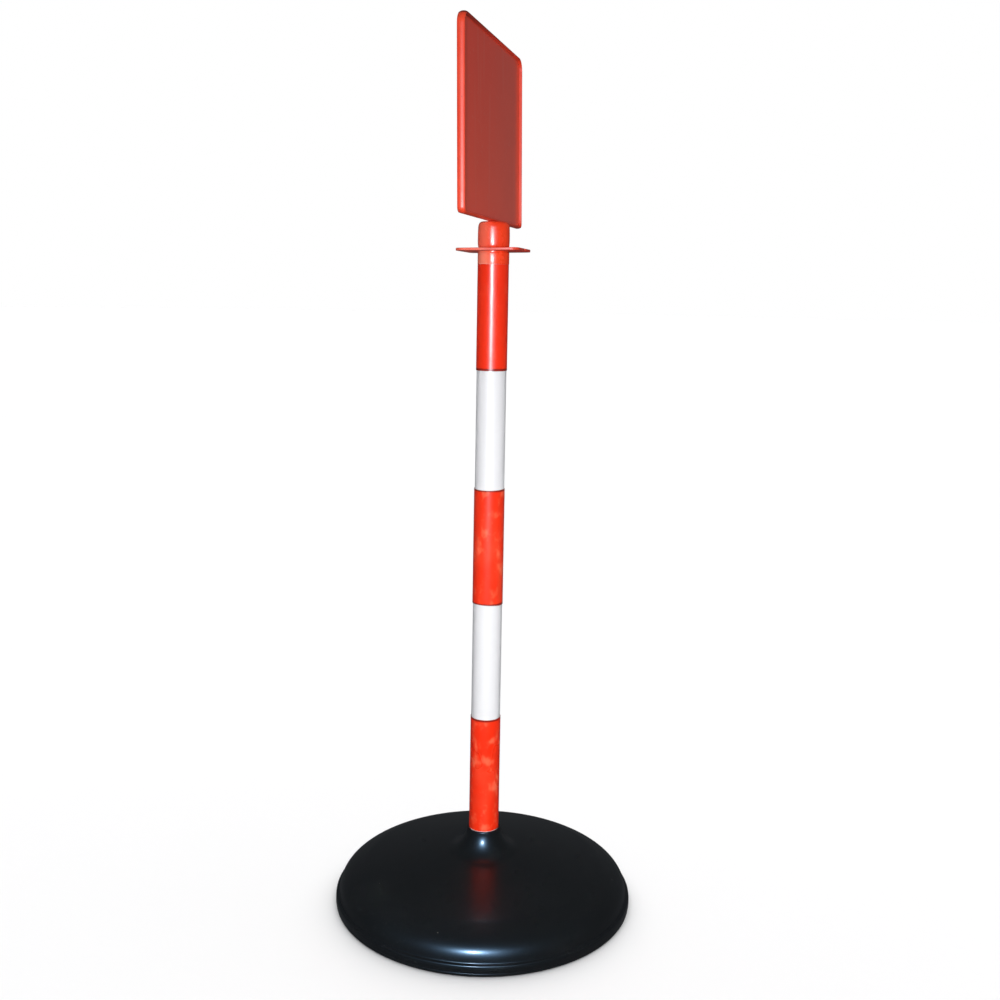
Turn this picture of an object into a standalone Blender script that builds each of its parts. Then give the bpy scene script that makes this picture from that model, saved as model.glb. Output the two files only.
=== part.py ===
"""A free-standing barrier post with a chain head and a landscape A4 sign board.

Frame: the post's axis is +Z, the origin lies on it at floor level, and the sign
board stands in the XZ plane, its front face towards -Y. Lengths are in metres.
"""

import math

import bmesh
import bpy
from mathutils import Matrix, Vector

# ---------------------------------------------------------------- driving sizes
FIT_GAP = 0.0003

TUBE_RADIUS = 0.0200
TUBE_WALL = 0.0020
FILM_THICKNESS = 0.0004
BAND_HEIGHT = 0.160

BASE_RADIUS = 0.2053
HUB_RADIUS = 0.0234
HUB_TOP = 0.1020
SHELL_WALL = 0.0028
UNDERPLATE_THICKNESS = 0.0037
FOOT_RING_INNER_RADIUS = 0.168
FOOT_RING_DEPTH = 0.0012
BALLAST_BOTTOM = 0.026

SOCKET_WALL = 0.0017
SOCKET_FLOOR = 0.0025
SOCKET_TOP = 0.088

FOOT_PLUG_FLANGE = 0.0030
FOOT_PLUG_DEPTH = 0.020

SKIRT_BOTTOM = 0.8835
SKIRT_RADIUS = 0.0210
PLATE_BOTTOM = 0.8995
PLATE_THICKNESS = 0.0040
PLATE_SIDE = 0.0850
PLATE_CORNER_RADIUS = 0.010
HEAD_WALL = 0.0022
HEAD_PLUG_DEPTH = 0.0310
SPIGOT_RADIUS = 0.0170
SPIGOT_HEIGHT = 0.0185

CHAIN_SLOT_MOUTH_WIDTH = 0.0052
CHAIN_SLOT_MOUTH_LENGTH = 0.0060
CHAIN_SLOT_POCKET_WIDTH = 0.0090
CHAIN_SLOT_POCKET_LENGTH = 0.0080

SIGN_BOTTOM = 0.9390
SIGN_WIDTH = 0.3110
SIGN_HEIGHT = 0.2380
SIGN_DEPTH = 0.0100
SIGN_TOP_CORNER_RADIUS = 0.0170
SIGN_BOTTOM_CORNER_RADIUS = 0.0080
SIGN_RIM_WIDTH = 0.0030
SIGN_RIM_ROUNDING = 0.0010
SIGN_WEB_THICKNESS = 0.0010
SIGN_RECESS_DRAFT = 0.0004
PANEL_THICKNESS = 0.0005
PANEL_MARGIN = 0.0004

NECK_FOOT_RADIUS = 0.0199
NECK_BULGE_RADIUS = 0.0212
NECK_BULGE_HEIGHT = 0.9165
NECK_SHOULDER_RADIUS = 0.0208
NECK_SHOULDER_HEIGHT = 0.9290
NECK_CROWN_RADIUS = 0.0150
TONGUE_WIDTH = 0.026
TONGUE_THICKNESS = 0.0050
TONGUE_DEPTH = 0.0100
TONGUE_OVERLAP = 0.0020

BASE_STEPS = 48
POST_STEPS = 32
SIGN_CORNER_STEPS = 6
PLATE_CORNER_STEPS = 4
RIM_STEPS = 3

# ---------------------------------------------------------------- derived sizes
FILM_INNER_RADIUS = TUBE_RADIUS + FIT_GAP
FILM_RADIUS = FILM_INNER_RADIUS + FILM_THICKNESS
TUBE_INNER_RADIUS = TUBE_RADIUS - TUBE_WALL
SOCKET_INNER_RADIUS = TUBE_RADIUS + 0.0005
SOCKET_RADIUS = SOCKET_INNER_RADIUS + SOCKET_WALL
SOCKET_BOTTOM = UNDERPLATE_THICKNESS + FIT_GAP
FOOT_PLUG_BOTTOM = SOCKET_BOTTOM + SOCKET_FLOOR + FIT_GAP
TUBE_BOTTOM = FOOT_PLUG_BOTTOM + FOOT_PLUG_FLANGE + FIT_GAP
TUBE_TOP = PLATE_BOTTOM - 0.0010
PLATE_TOP = PLATE_BOTTOM + PLATE_THICKNESS
SPIGOT_TOP = PLATE_TOP + SPIGOT_HEIGHT
NECK_BOTTOM = PLATE_TOP + FIT_GAP
NECK_TOP = SIGN_BOTTOM - FIT_GAP
NECK_BORE_RADIUS = SPIGOT_RADIUS + 0.0004
NECK_CEILING = SPIGOT_TOP + FIT_GAP

# ---------------------------------------------------------------- scene helpers


def clear_scene():
    for obj in list(bpy.data.objects):
        bpy.data.objects.remove(obj, do_unlink=True)


def new_collection(name):
    collection = bpy.data.collections.new(name)
    bpy.context.scene.collection.children.link(collection)
    return collection


def plastic(name, colour, roughness, metallic=0.0):
    material = bpy.data.materials.new(name)
    material.use_nodes = True
    shader = material.node_tree.nodes["Principled BSDF"]
    shader.inputs["Base Color"].default_value = (*colour, 1.0)
    shader.inputs["Roughness"].default_value = roughness
    shader.inputs["Metallic"].default_value = metallic
    return material


def place(name, mesh, collection, material=None):
    """Link the mesh as a named object, shaded smooth except at its sharp edges."""
    obj = bpy.data.objects.new(name, mesh)
    collection.objects.link(obj)
    mesh.shade_smooth()
    mesh.set_sharp_from_angle(angle=math.radians(35))
    if material:
        mesh.materials.append(material)
    return obj


def as_cutter(obj):
    obj.hide_render = True
    obj.display_type = "WIRE"
    return obj


def boolean(obj, other, operation):
    modifier = obj.modifiers.new(f"{operation.lower()}_{other.name}", "BOOLEAN")
    modifier.operation = operation
    modifier.solver = "EXACT"
    modifier.object = other


def turned(name, profile, steps, collection, material=None):
    """Turn a profile of (radius, height) points, given down its outer side, about Z."""
    mesh = bpy.data.meshes.new(name)
    outline = bmesh.new()
    points = [outline.verts.new((radius, 0.0, height)) for radius, height in profile]
    for first, second in zip(points, points[1:]):
        outline.edges.new((first, second))
    if profile[0][0] > 0.0:
        outline.edges.new((points[-1], points[0]))
    outline.to_mesh(mesh)
    outline.free()
    obj = place(name, mesh, collection, material)
    screw = obj.modifiers.new("turn", "SCREW")
    screw.axis = "Z"
    screw.angle = math.tau
    screw.steps = steps
    screw.render_steps = steps
    screw.use_merge_vertices = True
    screw.merge_threshold = 0.00001
    screw.use_smooth_shade = True
    return obj


def box(name, lowest, highest, collection, material=None):
    mesh = bpy.data.meshes.new(name)
    shape = bmesh.new()
    bmesh.ops.create_cube(shape, size=1.0)
    size = Vector(highest) - Vector(lowest)
    bmesh.ops.scale(shape, vec=size, verts=shape.verts)
    bmesh.ops.translate(shape, vec=(Vector(highest) + Vector(lowest)) / 2, verts=shape.verts)
    shape.to_mesh(mesh)
    shape.free()
    return place(name, mesh, collection, material)


# ---------------------------------------------------------------- profile helpers


def bezier(start, first_handle, second_handle, end, pieces):
    """Points along a cubic curve, without its first one."""
    points = []
    for step in range(1, pieces + 1):
        t = step / pieces
        weights = ((1 - t) ** 3, 3 * t * (1 - t) ** 2, 3 * t * t * (1 - t), t**3)
        corners = (start, first_handle, second_handle, end)
        radius = sum(w * corner[0] for w, corner in zip(weights, corners))
        height = sum(w * corner[1] for w, corner in zip(weights, corners))
        points.append((radius, height))
    return points


def inset_profile(points, distance):
    """The profile moved inwards, square to itself, by the wall's thickness."""
    moved = []
    for index, (radius, height) in enumerate(points):
        before = Vector(points[max(index - 1, 0)])
        after = Vector(points[min(index + 1, len(points) - 1)])
        along = (after - before).normalized()
        moved.append((radius + along.y * distance, height - along.x * distance))
    return moved


def dome_profile():
    """The base's upper surface, from the foot of the hub out to the rounded shoulder."""
    flare_top = (HUB_RADIUS, HUB_TOP - 0.0015)
    flare_foot = (0.0500, 0.0700)
    crease = (0.1635, 0.0490)
    shoulder_foot = (0.2003, 0.0190)
    flare = bezier(flare_top, (HUB_RADIUS, 0.0905), (0.0340, 0.0720), flare_foot, 6)
    dome = bezier(flare_foot, (0.0880, 0.0665), (0.1280, 0.0580), crease, 4)
    shoulder = bezier(crease, (0.1880, 0.0385), (0.1975, 0.0335), shoulder_foot, 6)
    return [flare_top] + flare + dome + shoulder


# ---------------------------------------------------------------- the base


def base_shell(collection, material):
    """Thin moulded cover: hub, dome, rounded shoulder and a small lip at the floor."""
    dome = dome_profile()
    lip = [(0.2009, 0.0160), (0.2024, 0.0145), (0.2043, 0.0133), (BASE_RADIUS, 0.0108)]
    lip.append((BASE_RADIUS, UNDERPLATE_THICKNESS + FIT_GAP))
    hub_mouth = [(SOCKET_INNER_RADIUS, HUB_TOP), (HUB_RADIUS - 0.0010, HUB_TOP)]
    inside = [point for point in inset_profile(dome, SHELL_WALL) if point[1] < SOCKET_TOP - 0.001]
    lip_inside = [(BASE_RADIUS - 0.0030, UNDERPLATE_THICKNESS + FIT_GAP), (0.1985, 0.0130)]
    socket_seat = SOCKET_TOP + FIT_GAP
    seat = [(SOCKET_RADIUS + FIT_GAP, socket_seat - 0.002), (SOCKET_RADIUS + FIT_GAP, socket_seat)]
    seat.append((SOCKET_INNER_RADIUS, socket_seat))
    profile = hub_mouth + dome + lip + lip_inside + inside[::-1] + seat
    return turned("base_shell", profile, BASE_STEPS, collection, material)


def base_ballast(collection, material):
    """Concrete cast under the dome and round the socket."""
    dome = inset_profile(dome_profile(), SHELL_WALL + FIT_GAP)
    bore = SOCKET_RADIUS + FIT_GAP
    under_hub = SOCKET_TOP - 0.006
    top = [point for point in dome if point[0] > bore + 0.003 and point[1] < under_hub]
    top = [point for point in top if point[1] > BALLAST_BOTTOM]
    profile = [(bore, top[0][1])] + top + [(top[-1][0], BALLAST_BOTTOM), (bore, BALLAST_BOTTOM)]
    return turned("base_ballast", profile, BASE_STEPS, collection, material)


def base_underplate(collection, material):
    """Disc that closes the base from below, with a raised ring foot at its edge."""
    edge = BASE_RADIUS - 0.0005
    inner = FOOT_RING_INNER_RADIUS
    profile = [(0.0, UNDERPLATE_THICKNESS), (edge, UNDERPLATE_THICKNESS), (edge, 0.0008)]
    profile += [(edge - 0.0008, 0.0), (inner, 0.0), (inner - 0.0010, FOOT_RING_DEPTH)]
    profile.append((0.0, FOOT_RING_DEPTH))
    return turned("base_underplate", profile, BASE_STEPS, collection, material)


def post_socket(collection, material):
    """Cup cast into the ballast, which takes the foot of the tube."""
    floor = SOCKET_BOTTOM + SOCKET_FLOOR
    profile = [(0.0, floor), (SOCKET_INNER_RADIUS, floor), (SOCKET_INNER_RADIUS, SOCKET_TOP)]
    profile += [(SOCKET_RADIUS, SOCKET_TOP), (SOCKET_RADIUS, SOCKET_BOTTOM), (0.0, SOCKET_BOTTOM)]
    return turned("post_socket", profile, POST_STEPS, collection, material)


# ---------------------------------------------------------------- the post


def ring(name, inner, outer, bottom, top, collection, material):
    profile = [(inner, top), (outer, top), (outer, bottom), (inner, bottom)]
    return turned(name, profile, POST_STEPS, collection, material)


def post_tube(collection, material):
    return ring(
        "post_tube", TUBE_INNER_RADIUS, TUBE_RADIUS, TUBE_BOTTOM, TUBE_TOP, collection, material
    )


def red_bands(collection, material):
    """Three film sleeves. The tube's own white shows between them."""
    for index, name in enumerate(("band_red_lower", "band_red_middle", "band_red_upper")):
        bottom = HUB_TOP + FIT_GAP + 2 * index * BAND_HEIGHT
        top = min(bottom + BAND_HEIGHT, SKIRT_BOTTOM - FIT_GAP)
        ring(name, FILM_INNER_RADIUS, FILM_RADIUS, bottom, top, collection, material)


def tube_foot_plug(collection, material):
    """Plug that closes the tube's lower end and stands on the socket's floor."""
    flange_top = FOOT_PLUG_BOTTOM + FOOT_PLUG_FLANGE
    barb_top = flange_top + FOOT_PLUG_DEPTH
    barb = TUBE_INNER_RADIUS - FIT_GAP
    hollow = barb - 0.0020
    profile = [(0.0, flange_top), (hollow, flange_top), (hollow, barb_top), (barb - 0.0008, barb_top)]
    profile += [(barb, barb_top - 0.0020), (barb, flange_top), (TUBE_RADIUS, flange_top)]
    profile += [(TUBE_RADIUS, FOOT_PLUG_BOTTOM), (0.0, FOOT_PLUG_BOTTOM)]
    return turned("tube_foot_plug", profile, POST_STEPS, collection, material)


# ---------------------------------------------------------------- the chain head


def plate_side_outline():
    """One side of the plate: the two edges of its chain slot, and the corner after it."""
    half = PLATE_SIDE / 2
    mouth = CHAIN_SLOT_MOUTH_WIDTH / 2
    pocket = CHAIN_SLOT_POCKET_WIDTH / 2
    pocket_outer = half - CHAIN_SLOT_MOUTH_LENGTH
    pocket_inner = pocket_outer - CHAIN_SLOT_POCKET_LENGTH
    points = [(-pocket, pocket_inner), (-pocket, pocket_outer), (-mouth, pocket_outer), (-mouth, half)]
    mirrored = [(-x, y) for x, y in reversed(points)]
    centre = half - PLATE_CORNER_RADIUS
    arc = []
    for step in range(PLATE_CORNER_STEPS + 1):
        angle = math.radians(90 * step / PLATE_CORNER_STEPS)
        x = centre + PLATE_CORNER_RADIUS * math.sin(angle)
        arc.append((x, centre + PLATE_CORNER_RADIUS * math.cos(angle)))
    return points, mirrored, arc


def chain_plate(collection):
    """Square plate with a keyhole chain slot in its +Y side and in its -Y side."""
    left_edge, right_edge, arc = plate_side_outline()
    slotted_side = left_edge[::-1] + right_edge[::-1] + arc
    outline = []
    for quarter, side in enumerate((slotted_side, arc, slotted_side, arc)):
        turn = Matrix.Rotation(math.radians(-90 * quarter), 2)
        outline += [turn @ Vector(point) for point in side]
    mesh = bpy.data.meshes.new("chain_plate")
    shape = bmesh.new()
    face = shape.faces.new([shape.verts.new((x, y, PLATE_BOTTOM)) for x, y in outline])
    swept = bmesh.ops.extrude_face_region(shape, geom=[face])
    lifted = [item for item in swept["geom"] if isinstance(item, bmesh.types.BMVert)]
    bmesh.ops.translate(shape, vec=(0.0, 0.0, PLATE_THICKNESS), verts=lifted)
    bmesh.ops.triangulate(shape, faces=shape.faces)
    bmesh.ops.recalc_face_normals(shape, faces=shape.faces)
    shape.to_mesh(mesh)
    shape.free()
    return as_cutter(place("chain_plate", mesh, collection))


def chain_head(collection, cutters, material):
    """One moulding: skirt over the tube, plug inside it, chain plate and sign spigot."""
    web_top = PLATE_TOP - 0.0005
    web_bottom = PLATE_BOTTOM + 0.0005
    plug = TUBE_INNER_RADIUS - FIT_GAP
    plug_bottom = PLATE_BOTTOM - HEAD_PLUG_DEPTH
    spigot_bore = SPIGOT_RADIUS - HEAD_WALL
    skirt_bore = TUBE_RADIUS + FIT_GAP
    groove_top = TUBE_TOP + FIT_GAP
    profile = [(0.0, web_top), (spigot_bore, web_top), (spigot_bore, SPIGOT_TOP)]
    profile += [(SPIGOT_RADIUS - 0.0010, SPIGOT_TOP), (SPIGOT_RADIUS, SPIGOT_TOP - 0.0010)]
    profile += [(SPIGOT_RADIUS, web_bottom + 0.0010), (SKIRT_RADIUS, web_bottom + 0.0010)]
    profile += [(SKIRT_RADIUS, SKIRT_BOTTOM), (skirt_bore, SKIRT_BOTTOM), (skirt_bore, groove_top)]
    profile += [(plug, groove_top), (plug, plug_bottom + 0.0020), (plug - 0.0008, plug_bottom)]
    profile += [(plug - HEAD_WALL, plug_bottom), (plug - HEAD_WALL, web_bottom), (0.0, web_bottom)]
    head = turned("chain_head", profile, POST_STEPS, collection, material)
    boolean(head, chain_plate(cutters), "UNION")
    return head


# ---------------------------------------------------------------- the sign


def sign_socket(collection, cutters, material):
    """Socket that turns on the spigot. The board stands on it, its tongue in a slot in the top."""
    foot = (NECK_FOOT_RADIUS, NECK_BOTTOM)
    bulge = (NECK_BULGE_RADIUS, NECK_BULGE_HEIGHT)
    shoulder = (NECK_SHOULDER_RADIUS, NECK_SHOULDER_HEIGHT)
    crown = (NECK_CROWN_RADIUS, NECK_TOP)
    outer = bezier(crown, (0.0182, NECK_TOP), (0.0206, 0.9352), shoulder, 6)
    outer += bezier(shoulder, (NECK_BULGE_RADIUS, 0.9240), (NECK_BULGE_RADIUS, 0.9200), bulge, 2)
    outer += bezier(bulge, (NECK_BULGE_RADIUS, 0.9110), (0.0207, 0.9055), foot, 4)
    inner = [(NECK_BORE_RADIUS, NECK_BOTTOM), (NECK_BORE_RADIUS, NECK_CEILING), (0.0, NECK_CEILING)]
    profile = [(0.0, NECK_TOP), crown] + outer + inner
    neck = turned("sign_socket", profile, POST_STEPS, collection, material)

    above = NECK_TOP + 0.005
    tongue_end = TONGUE_WIDTH / 2 + FIT_GAP
    tongue_side = TONGUE_THICKNESS / 2 + FIT_GAP
    lowest = (-tongue_end, -tongue_side, NECK_TOP - TONGUE_DEPTH)
    highest = (tongue_end, tongue_side, above)
    boolean(neck, as_cutter(box("tongue_slot", lowest, highest, cutters)), "DIFFERENCE")
    return neck


def board_ring(inset):
    """Points (x, z) round the board's outline, moved inwards by the inset."""
    half_width = SIGN_WIDTH / 2 - inset
    half_height = SIGN_HEIGHT / 2 - inset
    top = SIGN_TOP_CORNER_RADIUS - inset
    bottom = SIGN_BOTTOM_CORNER_RADIUS - inset
    corners = ((1, 1, top), (-1, 1, top), (-1, -1, bottom), (1, -1, bottom))
    centre = SIGN_BOTTOM + SIGN_HEIGHT / 2
    points = []
    for quarter, (side_x, side_z, radius) in enumerate(corners):
        centre_x = side_x * (half_width - radius)
        centre_z = centre + side_z * (half_height - radius)
        for step in range(SIGN_CORNER_STEPS + 1):
            angle = math.radians(90 * (quarter + step / SIGN_CORNER_STEPS))
            points.append((centre_x + radius * math.cos(angle), centre_z + radius * math.sin(angle)))
    return points


def lofted_board(name, sections, collection, material):
    """Join the board's outline at (inset, depth) sections, front to back, into one body."""
    mesh = bpy.data.meshes.new(name)
    shape = bmesh.new()
    rings = []
    for inset, depth in sections:
        rings.append([shape.verts.new((x, depth, z)) for x, z in board_ring(inset)])
    for first, second in zip(rings, rings[1:]):
        for index, corner_vert in enumerate(first):
            before = index - 1
            shape.faces.new((corner_vert, first[before], second[before], second[index]))
    shape.faces.new(rings[0])
    shape.faces.new(rings[-1][::-1])
    bmesh.ops.recalc_face_normals(shape, faces=shape.faces)
    shape.to_mesh(mesh)
    shape.free()
    return place(name, mesh, collection, material)


def sign_frame(collection, cutters, material):
    """Board with a narrow rim, recessed on both faces, and a tongue under it."""
    face = SIGN_DEPTH / 2
    web = SIGN_WEB_THICKNESS / 2
    front = [(SIGN_RIM_WIDTH + SIGN_RECESS_DRAFT, -web), (SIGN_RIM_WIDTH, -face)]
    for step in range(RIM_STEPS + 1):
        angle = math.radians(90 * step / RIM_STEPS)
        inset = SIGN_RIM_ROUNDING * (1 - math.sin(angle))
        front.append((inset, SIGN_RIM_ROUNDING * (1 - math.cos(angle)) - face))
    back = [(inset, -depth) for inset, depth in reversed(front)]
    board = lofted_board("sign_frame", front + back, collection, material)
    half_tongue = TONGUE_WIDTH / 2
    lowest = (-half_tongue, -TONGUE_THICKNESS / 2, SIGN_BOTTOM - TONGUE_DEPTH)
    highest = (half_tongue, TONGUE_THICKNESS / 2, SIGN_BOTTOM + TONGUE_OVERLAP)
    boolean(board, as_cutter(box("tongue", lowest, highest, cutters)), "UNION")
    return board


def sign_panels(collection, material):
    """Plain plates that lie in the recesses of the board, one on each face."""
    inset = SIGN_RIM_WIDTH + SIGN_RECESS_DRAFT + PANEL_MARGIN
    near = SIGN_WEB_THICKNESS / 2 + FIT_GAP
    far = near + PANEL_THICKNESS
    lofted_board("sign_panel_front", ((inset, -far), (inset, -near)), collection, material)
    lofted_board("sign_panel_rear", ((inset, near), (inset, far)), collection, material)


# ---------------------------------------------------------------- assembly


def main():
    clear_scene()
    parts = new_collection("barrier_post")
    cutters = new_collection("cutters")
    cutters.hide_render = True

    black = plastic("black_polyethylene", (0.010, 0.010, 0.011), 0.28)
    grey = plastic("socket_plastic", (0.10, 0.10, 0.11), 0.45)
    concrete = plastic("concrete", (0.32, 0.31, 0.29), 0.90)
    white = plastic("white_tube", (0.86, 0.86, 0.88), 0.25)
    film = plastic("red_film", (0.86, 0.045, 0.012), 0.22)
    head_red = plastic("head_red", (0.90, 0.075, 0.030), 0.30)
    panel_red = plastic("panel_red", (0.62, 0.050, 0.026), 0.18)

    base_shell(parts, black)
    base_ballast(parts, concrete)
    base_underplate(parts, black)
    post_socket(parts, grey)
    post_tube(parts, white)
    red_bands(parts, film)
    tube_foot_plug(parts, black)
    chain_head(parts, cutters, head_red)
    sign_socket(parts, cutters, head_red)
    sign_frame(parts, cutters, head_red)
    sign_panels(parts, panel_red)


main()
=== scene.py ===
"""Looks of the barrier post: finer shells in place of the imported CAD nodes, materials, light, camera.

Lengths are in metres, in the row frame: the post's axis is +Z, the floor is z = 0 and the sign
board stands in the XZ plane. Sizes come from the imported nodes' boxes wherever they can.
"""

import math
import random

import bmesh
import bpy
from mathutils import Matrix, Quaternion, Vector, noise


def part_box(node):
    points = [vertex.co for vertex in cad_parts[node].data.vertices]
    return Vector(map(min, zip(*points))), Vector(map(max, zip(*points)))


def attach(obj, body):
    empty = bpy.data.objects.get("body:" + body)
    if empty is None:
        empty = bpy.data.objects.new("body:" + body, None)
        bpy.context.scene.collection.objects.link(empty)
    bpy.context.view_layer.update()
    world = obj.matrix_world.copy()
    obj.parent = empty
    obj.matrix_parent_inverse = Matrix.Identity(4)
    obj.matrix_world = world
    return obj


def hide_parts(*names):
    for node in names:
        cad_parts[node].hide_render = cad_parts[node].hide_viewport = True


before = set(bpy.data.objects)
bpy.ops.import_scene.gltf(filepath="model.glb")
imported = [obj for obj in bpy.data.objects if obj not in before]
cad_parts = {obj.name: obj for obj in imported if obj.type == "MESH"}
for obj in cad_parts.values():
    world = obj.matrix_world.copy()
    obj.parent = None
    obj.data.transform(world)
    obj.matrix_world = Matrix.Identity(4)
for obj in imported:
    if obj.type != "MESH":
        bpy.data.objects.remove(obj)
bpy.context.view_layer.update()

# ---------------------------------------------------------------- camera and view
CAMERA_BEARING = math.radians(13.65)
CAMERA_DISTANCE = 1.5953
CAMERA_SIDESTEP = 0.0128
CAMERA_HEIGHT = 0.8518
CAMERA_PITCH = math.radians(6.784)
CAMERA_ROLL = math.radians(1.04)
CAMERA_LENS_MM = 42.84
CAMERA_SHIFT_Y = -0.0702

# ---------------------------------------------------------------- light
STRIP_SLANT = math.radians(48)
FILLS = (("left_fill", -125, 7.5), ("right_fill", 125, 7.0), ("back_fill", 180, 9.0))
FLOOR_LIGHT = 3.28
AMBIENT = (0.20, 0.20, 0.205, 1.0)
REFLECTED_ROOM = (0.060, 0.062, 0.066, 1.0)
BACKDROP = (1.0, 1.0, 1.0, 1.0)

# ---------------------------------------------------------------- sizes from the frame
BASE_LOW, BASE_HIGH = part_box("base_shell")
UNDER_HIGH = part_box("base_underplate")[1]
TUBE_LOW, TUBE_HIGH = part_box("post_tube")
UPPER_BAND_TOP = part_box("band_red_upper")[1].z
HEAD_LOW, HEAD_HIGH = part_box("chain_head")
NECK_LOW, NECK_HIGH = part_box("sign_socket")
BOARD_LOW, BOARD_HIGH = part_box("sign_frame")
PANEL_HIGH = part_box("sign_panel_front")[1]

FIT_GAP = 0.0003

BASE_RADIUS = BASE_HIGH.x
HUB_TOP = BASE_HIGH.z
HUB_RADIUS = 0.0234
HUB_BORE = 0.0207

TUBE_RADIUS = TUBE_HIGH.x
TUBE_WALL = 0.0020
FILM_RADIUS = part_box("band_red_lower")[1].x
FILM_THICKNESS = 0.0004

PLATE_HALF = HEAD_HIGH.x
PLATE_THICKNESS = 0.0040
PLATE_TOP = NECK_LOW.z - FIT_GAP
PLATE_BOTTOM = PLATE_TOP - PLATE_THICKNESS
PLATE_CORNER = 0.010
PLATE_EDGE = 0.0006
PLATE_THINNED = 0.0005
SKIRT_RADIUS = 0.0210
SKIRT_BOTTOM = UPPER_BAND_TOP + 0.00004
SKIRT_BORE = TUBE_RADIUS + 0.0002
COLLAR_RADIUS = 0.0216
SPIGOT_RADIUS = 0.0170
SPIGOT_TOP = HEAD_HIGH.z
HEAD_WALL = 0.0022
PLUG_RADIUS = TUBE_RADIUS - 0.0023

NECK_BORE = SPIGOT_RADIUS + 0.0004
NECK_BULGE_HEIGHT = 0.9165
NECK_SHOULDER_HEIGHT = 0.9310

TONGUE_DEPTH = 0.0100
TONGUE_HALF_WIDTH = 0.0130
TONGUE_HALF_THICKNESS = 0.0025
SIGN_TOP = BOARD_HIGH.z
SIGN_BOTTOM = BOARD_LOW.z + TONGUE_DEPTH
SIGN_HALF_WIDTH = BOARD_HIGH.x
SIGN_HALF_DEPTH = BOARD_HIGH.y
SIGN_RIM = 0.0030
SIGN_TOP_CORNER = 0.0170
SIGN_BOTTOM_CORNER = 0.0080
SIGN_HALF_WEB = 0.0003
SIGN_BELLY = 0.0009
SIGN_BELLY_END = 0.0040
PANEL_NEAR = 0.0004
PANEL_FAR = 0.0008

# The chain plate and the board are not quite square to the tube, and the board stands off its axis.
LEAN_BACK = math.radians(1.10)
LEAN_ALONG = math.radians(0.60)
LEAN = Matrix.Rotation(-LEAN_BACK, 4, "X") @ Matrix.Rotation(LEAN_ALONG, 4, "Y")
BOARD_SHIFT = Vector((0.0, 0.0023, 0.0002))
BOARD_SWELL = 0.0004

FINE_STEPS = 128
BASE_STEPS = 192
FILM_STEPS = 160
FILM_ROWS = 48
SMOOTH_ANGLE = 40
WELD_DISTANCE = 0.000002

# ---------------------------------------------------------------- mesh helpers


def add_object(name, mesh, material, smooth_angle=SMOOTH_ANGLE):
    obj = bpy.data.objects.new(name, mesh)
    bpy.context.scene.collection.objects.link(obj)
    mesh.shade_smooth()
    mesh.set_sharp_from_angle(angle=math.radians(smooth_angle))
    mesh.materials.append(material)
    return obj


def finish_mesh(name, shape):
    """Weld, face outwards and store a bmesh."""
    bmesh.ops.remove_doubles(shape, verts=shape.verts, dist=WELD_DISTANCE)
    bmesh.ops.recalc_face_normals(shape, faces=shape.faces)
    mesh = bpy.data.meshes.new(name)
    shape.to_mesh(mesh)
    shape.free()
    return mesh


def filleted(corners, closed=True, pieces=4):
    """Round the corners of an outline of (x, y, radius) points with arcs."""
    points = []
    count = len(corners)
    for index, (x, y, radius) in enumerate(corners):
        here = Vector((x, y))
        at_end = not closed and index in (0, count - 1)
        if radius <= 0.0 or at_end:
            points.append((x, y))
            continue
        before = Vector(corners[index - 1][:2])
        after = Vector(corners[(index + 1) % count][:2])
        back = (before - here).normalized()
        ahead = (after - here).normalized()
        half_angle = back.angle(ahead) / 2
        reach = radius / math.tan(half_angle)
        reach = min(reach, 0.48 * (before - here).length, 0.48 * (after - here).length)
        radius = reach * math.tan(half_angle)
        centre = here + (back + ahead).normalized() * (radius / math.sin(half_angle))
        start = here + back * reach - centre
        end = here + ahead * reach - centre
        sweep = start.angle_signed(end)
        for step in range(pieces + 1):
            turned_by = Matrix.Rotation(-sweep * step / pieces, 2)
            points.append(tuple(centre + turned_by @ start))
    return points


def turned(name, outline, material, steps=FINE_STEPS, smooth_angle=SMOOTH_ANGLE):
    """Turn a closed outline of (radius, height) points about Z."""
    shape = bmesh.new()
    rings = []
    for step in range(steps):
        angle = math.tau * step / steps
        direction = (math.cos(angle), math.sin(angle))
        rings.append([shape.verts.new((r * direction[0], r * direction[1], z)) for r, z in outline])
    count = len(outline)
    for step in range(steps):
        here, there = rings[step], rings[(step + 1) % steps]
        for index in range(count):
            following = (index + 1) % count
            if outline[index][0] == 0.0 and outline[following][0] == 0.0:
                continue
            shape.faces.new((here[index], there[index], there[following], here[following]))
    return add_object(name, finish_mesh(name, shape), material, smooth_angle)


def bezier(start, first_handle, second_handle, end, pieces):
    """Points (radius, height) along a cubic curve, without its start."""
    points = []
    corners = (start, first_handle, second_handle, end)
    for step in range(1, pieces + 1):
        t = step / pieces
        weights = ((1 - t) ** 3, 3 * t * (1 - t) ** 2, 3 * t * t * (1 - t), t**3)
        radius = sum(w * corner[0] for w, corner in zip(weights, corners))
        height = sum(w * corner[1] for w, corner in zip(weights, corners))
        points.append((radius, height))
    return points


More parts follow.
